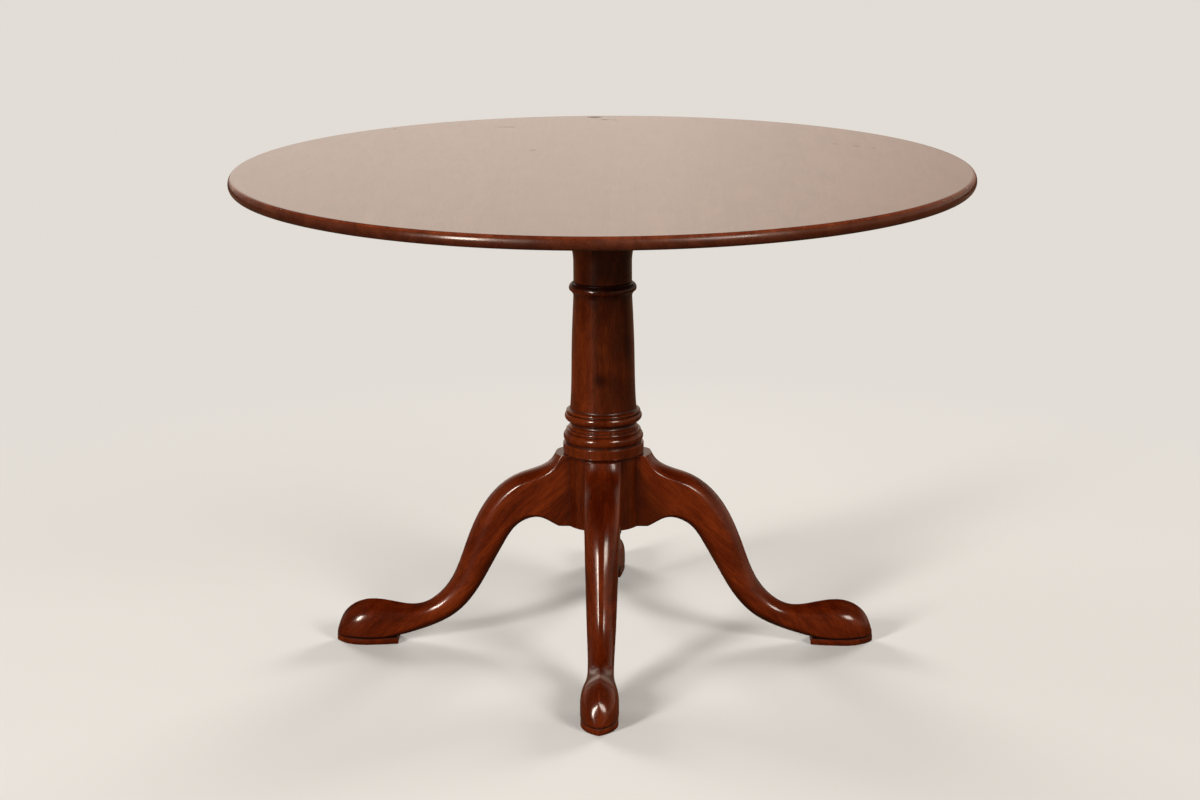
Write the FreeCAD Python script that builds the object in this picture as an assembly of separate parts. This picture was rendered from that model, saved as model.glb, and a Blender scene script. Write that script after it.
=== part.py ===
import FreeCAD, Part

import math
import os

# Tavern table: a round top of glued boards on a turned column with four cabriole legs.
# Origin on the floor under the column, +Z up. One leg points forward, towards -Y, and the boards
# run front to back, so their seams are planes of constant X. All sizes are in millimetres.

# Top
table_height = 747.0
top_diameter = 1118.0
top_thickness = 19.0
edge_drop = 10.0            # how far under the surface the rounded edge is widest
edge_upper_inset = 7.0      # the upper rounding starts this far in from the widest line
edge_lower_inset = 6.0      # the lower rounding ends this far in
seam_shares = (-0.792, -0.576, -0.277, 0.029, 0.317, 0.555, 0.746)    # seams, as shares of the radius

# Cleats across the boards
cleat_width = 58.0
cleat_depth = 24.0
cleat_offset = 172.0        # middle of a cleat from the middle of the table
cleat_setback = 30.0        # from the end of a cleat to the flat of the top's underside
cleat_end_depth = 12.0
cleat_taper = 40.0          # length of the sloped underside at each end
cleat_chamfer = 5.0

# Block that carries the top
block_width = 232.0
block_thickness = 62.0
block_chamfer = 10.0
tenon_radius = 24.0
tenon_recess = 0.5          # the tenon stops this far under the face of the block
wedge_spacing = 18.0        # between the two wedges in the tenon
wedge_length = 34.0
wedge_depth = 32.0
wedge_head = 4.2
wedge_point = 1.2

# Column, from the block down
capital_radius = 70.0
capital_height = 6.0
cove_radius = 80.0
cove_height = 55.0
neck_radius = 44.6
neck_height = 32.0
collar_radius = 51.4
collar_height = 19.0
shaft_top_radius = 44.8
shaft_middle_radius = 48.0
shaft_foot_radius = 50.3
flare_radius = 52.2
flare_height = 15.0

# Column, from the legs up
plinth_radius = 62.0
plinth_height = 15.5
plinth_edge = 2.5
groove_radius = 58.4
groove_height = 3.0
torus_radius = 61.3
torus_height = 15.0
bead_radius = 57.4
bead_height = 4.0
bead_bulge = 1.0            # how far the bead stands out from its two edges
fillet_radius = 53.2
fillet_height = 3.8
scotia_radius = 49.4
scotia_height = 8.7
scotia_low_share = 0.4      # level of the deepest line, as a share of the scotia's height
ring_root_radius = 51.2
ring_radius = 59.3
ring_height = 12.5
ring_crest_share = 0.55     # level of the widest line, as a share of the ring's height
step_radius = 56.4
step_height = 3.0
lip_radius = 54.0
lip_height = 2.8

# Hub and the sliding dovetails that hold the legs
hub_radius = 57.6
hub_bottom = 194.0
hub_top = 308.0
tail_depth = 24.0
tail_root = 6.0             # how far the tail is drawn back into the leg
tail_neck = 22.0
tail_wide = 32.0
tail_height = 94.0

# Cabriole leg
leg_reach = 419.0
leg_half_width = 28.0
ankle_half_width = 18.5
foot_half_width = 27.3
ear_drop = 1.5              # the top of the leg lies this far under the plinth
ear_length = 16.0           # flat at the top of the leg, out from the hub
ankle_height = 60.0
instep_height = 68.0
crown_fullness = 0.62       # how full the rounded top of a leg's section is
shoe_height = 12.0
shoe_half_width = 27.5
shoe_length = 97.0
shoe_heel_half_width = 21.0
shoe_heel_bow = 0.8         # bulge of the shoe's side between its widest line and its heel
shoe_widest = 47.0          # from the toe to the widest line of the shoe
shoe_swell = 18.0           # from the toe to the line where the toe's width is given
shoe_swell_half_width = 19.5
foot_sink = 1.0             # the foot runs this far into the shoe it is carved with

# Steel plate under the hub
plate_thickness = 3.0
plate_reach = 66.0
plate_arm_width = 32.0
plate_screw_circle = 45.0

# Screws: shank radius, head radius, head height
cleat_screw = (2.4, 5.0, 3.2)
block_screw = (3.0, 6.5, 4.0)
plate_screw = (2.2, 4.4, 2.6)
screw_head_flat = 0.5       # flat middle of a round head, as a share of the head's radius
screw_bite = 13.0           # length of a screw in the boards
plate_screw_length = 30.0
cleat_screw_seat = 16.0     # wood left between a screw's head and the boards
block_screw_seat = 30.0
block_screw_spacing = 168.0
screw_end_margin = 16.0     # from the end of a cleat to the nearest screw
slot_travel = 6.0           # play of a cleat screw along its slot, for boards that swell and shrink
head_room = 1.5             # round a screw's head in its pocket
pilot_gap = 0.1             # round a screw's shank

# Fits
glue_gap = 0.1

top_radius = top_diameter / 2
underside = table_height - top_thickness
block_bottom = underside - block_thickness
leg_top = hub_top - ear_drop
Z_AXIS = FreeCAD.Vector(0, 0, 1)


def vec(x, y, z):
    return FreeCAD.Vector(x, y, z)


def outline_point(radius, height):
    """A point of a turned outline, in the XZ plane."""
    return vec(radius, 0, height)


def line(a, b):
    return Part.makeLine(a, b)


def arc(a, via, b):
    return Part.Arc(a, via, b).toShape()


def spline(points):
    curve = Part.BSplineCurve()
    curve.interpolate(points)
    return curve.toShape()


def polygon(points):
    return Part.makePolygon(points + [points[0]])


def turned(edges):
    """Solid of revolution about the vertical axis from the edges of half its outline."""
    face = Part.Face(Part.Wire(edges))
    return face.revolve(vec(0, 0, 0), Z_AXIS, 360)


def edge_rounding(r_start, z_start, r_end, z_end):
    """An arc from a flat at the start to an upright end, through the middle of a quarter ellipse."""
    share = math.sin(math.pi / 4)
    r_via = r_start + (r_end - r_start) * share
    z_via = z_end + (z_start - z_end) * share
    return arc(outline_point(r_start, z_start), outline_point(r_via, z_via), outline_point(r_end, z_end))


def whole_top():
    """The glued top before it is parted into its boards."""
    widest = table_height - edge_drop
    upper = top_radius - edge_upper_inset
    lower = top_radius - edge_lower_inset
    return turned([
        line(outline_point(0, underside), outline_point(lower, underside)),
        edge_rounding(lower, underside, top_radius, widest),
        edge_rounding(upper, table_height, top_radius, widest),
        line(outline_point(upper, table_height), outline_point(0, table_height)),
        line(outline_point(0, table_height), outline_point(0, underside)),
    ])


def board_spans():
    """Left and right side of every board."""
    sides = [share * top_radius for share in (-1,) + seam_shares + (1,)]
    return list(zip(sides[:-1], sides[1:]))


def top_boards(pilots):
    top = whole_top()
    boards = []
    for left, right in board_spans():
        slab = Part.makeBox(right - left, top_diameter, top_thickness, vec(left, -top_radius, underside))
        boards.append(top.common(slab).cut(pilots))
    return boards


def cleat_half_length():
    """Half a cleat, ended a set distance inside the flat underside at the cleat's outer side."""
    flat_radius = top_radius - edge_lower_inset
    outer_side = cleat_offset + cleat_width / 2
    return math.sqrt(flat_radius ** 2 - outer_side ** 2) - cleat_setback


def cleat_screw_places():
    """One screw in each board that a cleat crosses, in the middle of the stretch they share."""
    limit = cleat_half_length() - screw_end_margin
    places = []
    for left, right in board_spans():
        start = max(left, -limit)
        end = min(right, limit)
        if end - start > screw_end_margin:
            places.append((start + end) / 2)
    return places


def slot(x, y, z, radius, travel, height):
    """An upright slot with round ends, with its length along X."""
    ends = [vec(x - travel / 2, y - radius, z), vec(x + travel / 2, y - radius, z)]
    sides = [vec(x + travel / 2, y + radius, z), vec(x - travel / 2, y + radius, z)]
    outline = Part.Wire([
        line(ends[0], ends[1]),
        arc(ends[1], vec(x + travel / 2 + radius, y, z), sides[0]),
        line(sides[0], sides[1]),
        arc(sides[1], vec(x - travel / 2 - radius, y, z), ends[0]),
    ])
    return Part.Face(outline).extrude(vec(0, 0, height))


def cleat(side):
    """A cleat along X with sloped ends, chamfered lower edges and a slot for each screw."""
    half = cleat_half_length()
    middle = side * cleat_offset
    bottom = underside - cleat_depth
    near = middle - cleat_width / 2
    outline = polygon([
        vec(-half, near, underside),
        vec(half, near, underside),
        vec(half, near, underside - cleat_end_depth),
        vec(half - cleat_taper, near, bottom),
        vec(-half + cleat_taper, near, bottom),
        vec(-half, near, underside - cleat_end_depth),
    ])
    body = Part.Face(outline).extrude(vec(0, cleat_width, 0))
    lower_edges = []
    for edge in body.Edges:
        box = edge.BoundBox
        if box.ZMax < underside - cleat_end_depth and box.YLength < cleat_chamfer:
            lower_edges.append(edge)
    body = body.makeChamfer(cleat_chamfer, lower_edges)
    shank, head = cleat_screw[:2]
    for x in cleat_screw_places():
        pocket_depth = cleat_depth - cleat_screw_seat
        body = body.cut(slot(x, middle, bottom, head + head_room, slot_travel, pocket_depth))
        body = body.cut(slot(x, middle, bottom, shank + pilot_gap, slot_travel, cleat_depth))
    return body


def pan_screw(size, seat):
    """A round-headed screw pointing up: its head under the wood that it clamps, its tip in the boards."""
    shank, head, head_height = size
    top_of_shank = seat + screw_bite - shank
    flat = head * screw_head_flat
    return turned([
        line(outline_point(0, -head_height), outline_point(flat, -head_height)),
        edge_rounding(flat, -head_height, head, 0),
        line(outline_point(head, 0), outline_point(shank, 0)),
        line(outline_point(shank, 0), outline_point(shank, top_of_shank)),
        line(outline_point(shank, top_of_shank), outline_point(0, seat + screw_bite)),
        line(outline_point(0, seat + screw_bite), outline_point(0, -head_height)),
    ])


def placed(shape, x, y, z):
    copy = shape.copy()
    copy.translate(vec(x, y, z))
    return copy


def cleat_screws():
    screw = pan_screw(cleat_screw, cleat_screw_seat)
    seat_height = underside - cleat_screw_seat
    places = [(x, side * cleat_offset) for side in (-1, 1) for x in cleat_screw_places()]
    return [placed(screw, x, y, seat_height) for x, y in places]


def block_screw_places():
    half = block_screw_spacing / 2
    return [(x, y) for x in (-half, half) for y in (-half, half)]


def block_screws():
    screw = pan_screw(block_screw, block_screw_seat)
    return [placed(screw, x, y, underside - block_screw_seat) for x, y in block_screw_places()]


def pilot_holes():
    """Holes in the underside of the boards, each as deep as the screw in it."""
    holes = []
    for side in (-1, 1):
        for x in cleat_screw_places():
            base = vec(x, side * cleat_offset, underside)
            holes.append(Part.makeCylinder(cleat_screw[0] + pilot_gap, screw_bite + pilot_gap, base))
    for x, y in block_screw_places():
        base = vec(x, y, underside)
        holes.append(Part.makeCylinder(block_screw[0] + pilot_gap, screw_bite + pilot_gap, base))
    return holes


def top_block():
    """Square block with a chamfered lower edge, a round mortise and a pocket for each screw."""
    half = block_width / 2
    inner = half - block_chamfer
    sections = []
    for reach, height in ((inner, block_bottom), (half, block_bottom + block_chamfer)):
        corners = [vec(-reach, -reach, height), vec(reach, -reach, height)]
        corners += [vec(reach, reach, height), vec(-reach, reach, height)]
        sections.append(polygon(corners))
    chamfered = Part.makeLoft(sections, True, True)
    upright = block_thickness - block_chamfer
    square = Part.makeBox(block_width, block_width, upright, vec(-half, -half, block_bottom + block_chamfer))
    body = chamfered.fuse(square).removeSplitter()
    body = body.cut(Part.makeCylinder(tenon_radius + glue_gap, block_thickness, vec(0, 0, block_bottom)))
    shank, head = block_screw[:2]
    for x, y in block_screw_places():
        pocket_depth = block_thickness - block_screw_seat
        body = body.cut(Part.makeCylinder(head + head_room, pocket_depth, vec(x, y, block_bottom)))
        body = body.cut(Part.makeCylinder(shank + pilot_gap, block_thickness, vec(x, y, block_bottom)))
    return body


def wedge_solid(x):
    """A wedge driven into the end of the tenon, thick above and thin below."""
    top = underside - tenon_recess
    bottom = top - wedge_depth
    near = -wedge_length / 2
    outline = polygon([
        vec(x - wedge_head / 2, near, top),
        vec(x + wedge_head / 2, near, top),
        vec(x + wedge_point / 2, near, bottom),
        vec(x - wedge_point / 2, near, bottom),
    ])
    return Part.Face(outline).extrude(vec(0, wedge_length, 0))


def tenon_wedges():
    return [wedge_solid(x) for x in (-wedge_spacing / 2, wedge_spacing / 2)]


def stacked(start, heights):
    """Running levels from a start and a row of heights, upwards."""
    levels = [start]
    for height in heights:
        levels.append(levels[-1] + height)
    return levels


def base_mouldings():
    """Turned outline from the plinth's underside up to the foot of the shaft, with its top level."""
    heights = (plinth_height, groove_height, torus_height, bead_height, fillet_height, scotia_height,
               ring_height, step_height, lip_height)
    plinth, groove, torus, bead, fillet, scotia, ring, step, lip, shaft = stacked(hub_top, heights)
    p = outline_point
    bead_edge = bead_radius - bead_bulge
    scotia_low = scotia + scotia_height * scotia_low_share
    ring_crest = ring + ring_height * ring_crest_share
    edges = [
        line(p(plinth_radius, plinth), p(plinth_radius, groove - plinth_edge)),
        edge_rounding(plinth_radius - plinth_edge, groove, plinth_radius, groove - plinth_edge),
        line(p(plinth_radius - plinth_edge, groove), p(groove_radius, groove)),
        line(p(groove_radius, groove), p(groove_radius, torus)),
        arc(p(groove_radius, torus), p(torus_radius, (torus + bead) / 2), p(bead_edge, bead)),
        arc(p(bead_edge, bead), p(bead_radius, (bead + fillet) / 2), p(bead_edge, fillet)),
        line(p(bead_edge, fillet), p(fillet_radius, fillet)),
        line(p(fillet_radius, fillet), p(fillet_radius, scotia)),
        arc(p(fillet_radius, scotia), p(scotia_radius, scotia_low), p(ring_root_radius, ring)),
        arc(p(ring_root_radius, ring), p(ring_radius, ring_crest), p(step_radius, step)),
        line(p(step_radius, step), p(step_radius, lip)),
        line(p(step_radius, lip), p(lip_radius, lip)),
        line(p(lip_radius, lip), p(lip_radius, shaft)),
        line(p(lip_radius, shaft), p(flare_radius, shaft)),
    ]
    return edges, shaft


def column_outline():
    """Half outline of the column from the middle of its foot to the middle of its tenon."""
    p = outline_point
    mouldings, shaft_foot = base_mouldings()
    cove_top = block_bottom - capital_height
    cove_foot = cove_top - cove_height
    collar_top = cove_foot - neck_height
    collar_foot = collar_top - collar_height
    flare_top = shaft_foot + flare_height
    cove_out = neck_radius + cove_radius - math.sqrt(cove_radius ** 2 - cove_height ** 2)
    cove_via = neck_radius + cove_radius - math.sqrt(cove_radius ** 2 - (cove_height / 2) ** 2)
    tenon_top = underside - tenon_recess
    edges = [
        line(p(0, hub_bottom), p(hub_radius, hub_bottom)),
        line(p(hub_radius, hub_bottom), p(hub_radius, hub_top)),
        line(p(hub_radius, hub_top), p(plinth_radius, hub_top)),
    ]
    edges += mouldings
    edges += [
        spline([p(flare_radius, shaft_foot), p(shaft_foot_radius, flare_top),
                p(shaft_middle_radius, (flare_top + collar_foot) / 2), p(shaft_top_radius, collar_foot)]),
        arc(p(shaft_top_radius, collar_foot), p(collar_radius, (collar_foot + collar_top) / 2),
            p(neck_radius, collar_top)),
        line(p(neck_radius, collar_top), p(neck_radius, cove_foot)),
        arc(p(neck_radius, cove_foot), p(cove_via, (cove_foot + cove_top) / 2), p(cove_out, cove_top)),
        line(p(cove_out, cove_top), p(capital_radius, cove_top)),
        line(p(capital_radius, cove_top), p(capital_radius, block_bottom)),
        line(p(capital_radius, block_bottom), p(tenon_radius, block_bottom)),
        line(p(tenon_radius, block_bottom), p(tenon_radius, tenon_top)),
        line(p(tenon_radius, tenon_top), p(0, tenon_top)),
        line(p(0, tenon_top), p(0, hub_bottom)),
    ]
    return edges


def dovetail(gap):
    """The tail of a leg that points along +X, grown by a gap on its sides, end and top."""
    inner = hub_radius - tail_depth - gap
    outer = hub_radius + tail_root
    wide = tail_wide / 2 + gap
    neck = tail_neck / 2 + gap
    slope = (wide - neck) / tail_depth
    outer_half = neck - slope * tail_root
    outline = polygon([
        vec(inner, -wide, hub_bottom),
        vec(outer, -outer_half, hub_bottom),
        vec(outer, outer_half, hub_bottom),
        vec(inner, wide, hub_bottom),
    ])
    return Part.Face(outline).extrude(vec(0, 0, tail_height + gap))


def around(shape, angle):
    copy = shape.copy()
    copy.rotate(vec(0, 0, 0), Z_AXIS, angle)
    return copy


def plate_screw_places():
    places = [(0, 0)]
    for quarter in range(4):
        angle = quarter * math.pi / 2
        places.append((plate_screw_circle * math.cos(angle), plate_screw_circle * math.sin(angle)))
    return places


def plate_pilots():
    depth = plate_screw_length - plate_thickness + pilot_gap
    radius = plate_screw[0] + pilot_gap
    return [Part.makeCylinder(radius, depth, vec(x, y, hub_bottom)) for x, y in plate_screw_places()]


def column():
    body = turned(column_outline())
    socket = dovetail(glue_gap)
    cuts = [around(socket, 90 * quarter) for quarter in range(4)]
    return body.cut(cuts + tenon_wedges() + [plate_pilots()[0]])


def leg_stations():
    """Stations of a leg along +X: upper point, lower point, half width, crown, ridge, belly.

    The crown is the height of the rounded top, the ridge the slope beside its middle line, and the
    belly the rounding of the lower edges. The knee hangs on the hub, the shank runs from the hub down
    to the ankle, and the foot hangs on the leg's reach.
    """
    sole = shoe_height - foot_sink
    ear = hub_radius + ear_length
    toe = leg_reach

    def out(share):
        return hub_radius + share * (leg_reach - hub_radius)

    def rise(share):
        return ankle_height + share * (hub_bottom - ankle_height)

    def taper(share):
        return leg_half_width + share * (ankle_half_width - leg_half_width)

    def swell(share):
        return ankle_half_width + share * (foot_half_width - ankle_half_width)

    return [
        ((ear - 9, leg_top), (ear - 9, hub_bottom), taper(0), 5, 0, 3),
        ((ear, leg_top - 2), (ear - 3, hub_bottom + 1), taper(0), 5, 0, 3),
        ((ear + 7, leg_top - 13), (ear + 5, hub_bottom + 5), taper(0), 6, 0, 4),
        ((ear + 25, leg_top - 25), (ear + 19, hub_bottom + 12), taper(0), 10, 0, 5),
        ((out(0.21), leg_top - 37), (out(0.15), hub_bottom + 12), taper(0.1), 16, 0, 6),
        ((out(0.305), leg_top - 61), (out(0.212), hub_bottom - 1), taper(0.27), 20, 0, 8),
        ((out(0.388), rise(1.052)), (out(0.272), rise(0.754)), taper(0.43), 21, 0, 10),
        ((out(0.444), rise(0.672)), (out(0.33), rise(0.463)), taper(0.59), 22, 0, 12),
        ((out(0.51), rise(0.269)), (out(0.402), rise(0.134)), taper(0.8), 21, 0, 13),
        ((out(0.61), rise(0.03)), (out(0.505), rise(-0.142)), taper(1), 20, 0.15, 12),
        ((out(0.715), rise(0.011)), (out(0.66), rise(-0.31)), swell(0.34), 22, 0.28, 9),
        ((toe - 64, instep_height), (toe - 73, sole), swell(0.99), 32, 0.3, 4),
        ((toe - 31, instep_height - 6), (toe - 33, sole), swell(0.85), 33, 0.3, 3),
        ((toe - 11, instep_height - 24), (toe - 11, sole), swell(-0.17), 21, 0.3, 2),
        ((toe - 1, instep_height - 50), (toe - 1, sole), swell(-1.5), 4, 0.3, 1),
    ]


def leg_section(upper, lower, half_width, crown, ridge, belly):
    """Closed section of a leg between its upper and lower point: flat below, upright sides, crowned top."""
    base = vec(lower[0], 0, lower[1])
    rise = vec(upper[0] - lower[0], 0, upper[1] - lower[1])
    height = rise.Length
    up = rise / height

    def at(across, above):
        return base + up * above + vec(0, across, 0)

    def crown_curve(side):
        curve = Part.BezierCurve()
        shoulder = height - crown
        curve.setPoles([
            at(side * half_width, shoulder),
            at(side * half_width, shoulder + crown * crown_fullness),
            at(side * half_width * crown_fullness, height - ridge * half_width * crown_fullness),
            at(0, height),
        ])
        return curve.toShape()

    def belly_curve(side):
        share = belly * (1 - math.sin(math.pi / 4))
        return arc(at(side * (half_width - belly), 0), at(side * (half_width - share), share),
                   at(side * half_width, belly))

    flat = half_width - belly
    return Part.Wire([
        line(at(-flat, 0), at(flat, 0)),
        belly_curve(1),
        line(at(half_width, belly), at(half_width, height - crown)),
        crown_curve(1),
        crown_curve(-1),
        line(at(-half_width, height - crown), at(-half_width, belly)),
        belly_curve(-1),
    ])


def shoe():
    """Flat sole of the foot: a softly pointed toe, swelling sides and a square heel."""
    toe = leg_reach
    widest = toe - shoe_widest
    heel = toe - shoe_length
    heel_via = (shoe_half_width + shoe_heel_half_width) / 2 + shoe_heel_bow
    sides = []
    for side in (1, -1):
        broad = vec(widest, side * shoe_half_width, 0)
        toe_side = arc(vec(toe, 0, 0), vec(toe - shoe_swell, side * shoe_swell_half_width, 0), broad)
        via = vec((widest + heel) / 2, side * heel_via, 0)
        heel_side = arc(broad, via, vec(heel, side * shoe_heel_half_width, 0))
        sides.append((toe_side, heel_side))
    heel_line = line(vec(heel, shoe_heel_half_width, 0), vec(heel, -shoe_heel_half_width, 0))
    outline = Part.Wire([sides[0][0], sides[0][1], heel_line, sides[1][1], sides[1][0]])
    return Part.Face(outline).extrude(vec(0, 0, shoe_height))


def leg():
    """A leg along +X: a lofted cabriole body coped to the hub, its dovetail and its shoe."""
    sections = [leg_section(*station) for station in leg_stations()]
    body = Part.makeLoft(sections, True, False)
    root = Part.Face(sections[0]).extrude(vec(-tail_depth, 0, 0))
    cope = Part.makeCylinder(hub_radius + glue_gap, hub_top)
    return body.fuse(root).cut(cope).fuse([dovetail(0), shoe()]).removeSplitter()


def legs():
    """The four legs by name, each with its hole for a plate screw."""
    body = leg()
    pilots = plate_pilots()
    names = ("leg_right", "leg_back", "leg_left", "leg_front")
    return {name: around(body, 90 * quarter).cut(pilots[1:]) for quarter, name in enumerate(names)}


def base_plate():
    """Cross-shaped plate with rounded arms under the hub and the dovetails."""
    half = plate_arm_width / 2
    bottom = hub_bottom - plate_thickness
    straight = plate_reach - half
    arm = slot(0, 0, bottom, half, 2 * straight, plate_thickness)
    body = arm.fuse(around(arm, 90)).removeSplitter()
    for x, y in plate_screw_places():
        body = body.cut(placed(flat_screw(pilot_gap), x, y, bottom))
    return body


def flat_screw(gap):
    """A countersunk screw pointing up with its head flush with z = 0, grown sideways by a gap."""
    shank, head, head_height = plate_screw
    return turned([
        line(outline_point(0, 0), outline_point(head + gap, 0)),
        line(outline_point(head + gap, 0), outline_point(shank + gap, head_height)),
        line(outline_point(shank + gap, head_height), outline_point(shank + gap, plate_screw_length - shank)),
        line(outline_point(shank + gap, plate_screw_length - shank), outline_point(0, plate_screw_length)),
        line(outline_point(0, plate_screw_length), outline_point(0, 0)),
    ])


def plate_screws():
    bottom = hub_bottom - plate_thickness
    return [placed(flat_screw(0), x, y, bottom) for x, y in plate_screw_places()]


def export(name, solids):
    shape = solids[0] if len(solids) == 1 else Part.makeCompound(solids)
    shape.exportStep(os.path.join("parts", name + ".step"))


def main():
    os.makedirs("parts", exist_ok=True)
    for number, board in enumerate(top_boards(pilot_holes()), start=1):
        export("top_board_%d" % number, [board])
    export("cleat_front", [cleat(-1)])
    export("cleat_back", [cleat(1)])
    export("cleat_screws", cleat_screws())
    export("top_block", [top_block()])
    export("block_screws", block_screws())
    export("column", [column()])
    export("tenon_wedges", tenon_wedges())
    for name, body in legs().items():
        export(name, [body])
    export("base_plate", [base_plate()])
    export("plate_screws", plate_screws())


main()
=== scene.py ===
import math

import bpy
import numpy as np
from mathutils import Matrix


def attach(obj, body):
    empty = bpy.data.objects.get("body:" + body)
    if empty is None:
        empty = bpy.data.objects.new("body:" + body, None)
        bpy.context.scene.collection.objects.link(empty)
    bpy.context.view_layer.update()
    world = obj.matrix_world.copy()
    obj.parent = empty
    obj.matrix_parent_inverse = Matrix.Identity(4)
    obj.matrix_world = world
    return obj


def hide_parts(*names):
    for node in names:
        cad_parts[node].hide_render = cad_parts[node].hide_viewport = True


# Looks of a round tavern table: a top of glued boards, a turned column and four cabriole legs in
# varnished red-brown wood. Sizes of the table are in millimetres and are turned into metres where a
# mesh or a finish needs them. Floor, lamps and camera are in metres.

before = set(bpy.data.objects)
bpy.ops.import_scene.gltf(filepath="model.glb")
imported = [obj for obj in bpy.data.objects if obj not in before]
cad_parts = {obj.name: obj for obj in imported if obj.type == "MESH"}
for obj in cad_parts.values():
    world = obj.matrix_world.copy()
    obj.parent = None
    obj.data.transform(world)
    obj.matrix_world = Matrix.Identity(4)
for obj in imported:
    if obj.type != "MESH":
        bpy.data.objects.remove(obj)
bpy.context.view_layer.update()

MM = 0.001
TURN = 2 * math.pi
SHARP_EDGE = math.radians(28)       # faces that meet at a larger angle keep a sharp edge

# Top
TABLE_HEIGHT = 747.0
TOP_RADIUS = 559.0
UNDERSIDE = 728.0
EDGE_WIDEST = 737.0         # height of the widest line of the rounded edge
EDGE_UPPER_INSET = 7.0
EDGE_LOWER_INSET = 6.0
SEAM_SHARES = (-1.0, -0.792, -0.576, -0.277, 0.029, 0.317, 0.555, 0.746, 1.0)
SEAM_BEVEL = 0.03           # softened arris along every seam
BOARD_TONES = (0.5, 0.47, 0.53, 0.49, 0.54, 0.55, 0.66, 0.66)
FLAT_POLISH = (744.8, 746.7)        # heights over which the polish of the flat sets in
EDGE_PAINTED_SHADE = (744.0, 734.5)         # heights over which painted shade darkens the edge downwards
RIM_LINE_LOWER = (743.6, 745.0)     # heights over which the redder line round the rim sets in
RIM_LINE_UPPER = (747.0, 746.4)     # heights over which it sets in from above

# Dull marks on the top: x, y, half sizes in x and y, and depth
TOP_MARKS = (
    (-23, 536, 15, 10, 0.5), (-4, 506, 9, 6, 0.3), (11, 503, 5, 7, 0.15),
    (-349, 404, 6, 9, 0.15), (-165, 424, 16, 8, 0.2), (-112, 178, 6, 9, 0.15),
    (364, 235, 5, 8, 0.15), (397, 214, 6, 9, 0.15), (421, 193, 5, 7, 0.12),
)

# Column
HUB_RADIUS = 57.6
HUB_BOTTOM = 194.0
HUB_TOP = 308.0
PLINTH_RADIUS = 62.0
PLINTH_TOP = 323.5
PLINTH_EDGE = 1.2           # rounding of the plinth's upper edge
NECK_RADIUS = 44.6
FLANGE_RADIUS = 70.0
FLANGE_BOTTOM = 660.0
BLOCK_BOTTOM = 666.0
TENON_RADIUS = 24.0
TENON_TOP = 727.5
TURNED_EDGE = 0.3           # softness of the corners that the turner sanded
COLUMN_RINGS = 420
COLUMN_SIDES = 144
GLUE_LINE = -15.0           # where the two halves of the column meet
GLUE_LINE_BLUR = 0.3
HUB_SHADE_MIDDLE_BLUR = 6.0       # painted shade darkens the left side of the hub, with a soft change in the middle
QUIRK = (568.2, 574.8)              # heights of the hollow above the collar, darkened with dirt and painted shade
SHAFT_TONE = (365.0, 380.0)         # heights over which the darker half of the shaft sets in
HUB_PAINTED_SHADE = (307.0, 306.0)           # heights over which the painted shade of the hub sets in from above
SHAFT_KNOT = (-2.0, -49.0, 429.0)   # middle of a dark cloud round a small knot

# Leg
LEG_REACH = 419.0
LEG_TOP = 306.5
EAR = 73.6                  # where the flat on top of the leg ends in the middle
ANKLE_HEIGHT = 60.0
INSTEP_HEIGHT = 68.0
LEG_HALF_WIDTH = 28.0
ANKLE_HALF_WIDTH = 18.5
FOOT_HALF_WIDTH = 27.3
CROWN_FULLNESS = 0.57
ARRIS_LEAN = 0.3            # share of the half width by which the crown leans in from a crisp arris
SOLE = 11.0                 # lower face of the foot, a little inside the shoe
ARRIS_PASSES = 28           # rounds of smoothing that soften the arris
COPE_DEPTH = 0.6            # how far the end of a leg sits in the hub
EAR_STRETCH = 60.0          # length from the hub in which the rings of a leg stand closest
SHOE_LENGTH = 97.0
SHOE_WIDEST = 47.0          # from the toe to the widest place of the shoe
SHOE_HALF_WIDTH = 27.5
HEEL_HALF_WIDTH = 21.0
SHOE_BULGE = 0.8            # rounding of the shoe's side between its widest place and the heel
LEG_TONES = (0.5, 0.47, 0.5, 0.44)
FOOT_TONES = (0.4, 0.36, 0.37, 0.45)
GRAIN_SLOPE = math.radians(45)      # the grain of a leg falls from the hub to the foot

# Wood
RING_COUNT = 13             # growth rings between the lowest and the highest level of their noise

# Stage, in metres but for the lens
BACKDROP = (0.76, 0.72, 0.67, 1)    # colour of the pale surroundings
FLOOR_RADIUS = 30.0
FLOOR_FADE = (0.45, 2.0)    # distances over which the lit floor passes into the backdrop
LAMP_AIM = (0.0, 0.0, 0.45)         # point that all lamps look at
LAMP_DISTANCE = 5.0
CAMERA_PLACE = (0.0835, -4.1061, 1.4164)
CAMERA_HEADING = (-0.02155, 0.99977, 0.0)
CAMERA_PITCH = math.radians(14.057)
CAMERA_ROLL = math.radians(-0.282)
CAMERA_LENS = 82.782        # focal length in millimetres
CAMERA_SENSOR = 36.0        # width of the sensor in millimetres


def spline_through(places, values, at):
    """Natural cubic spline through rows of values.

    The second slopes solve the tridiagonal system that makes the first slopes meet.
    """
    gap = np.diff(places)
    count = len(places)
    system = np.eye(count)
    inner = np.arange(1, count - 1)
    system[inner, inner - 1] = gap[:-1]
    system[inner, inner] = 2 * (gap[:-1] + gap[1:])
    system[inner, inner + 1] = gap[1:]
    slope = np.diff(values, axis=0) / gap[:, None]
    right = np.zeros_like(values)
    right[1:-1] = 6 * np.diff(slope, axis=0)
    bend = np.linalg.solve(system, right)
    span = np.clip(np.searchsorted(places, at) - 1, 0, count - 2)
    width = gap[span][:, None]
    after = (at - places[span])[:, None]
    before = width - after
    curve = (bend[span] * before ** 3 + bend[span + 1] * after ** 3) / (6 * width)
    start = (values[span] / width - bend[span] * width / 6) * before
    end = (values[span + 1] / width - bend[span + 1] * width / 6) * after
    return curve + start + end


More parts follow.
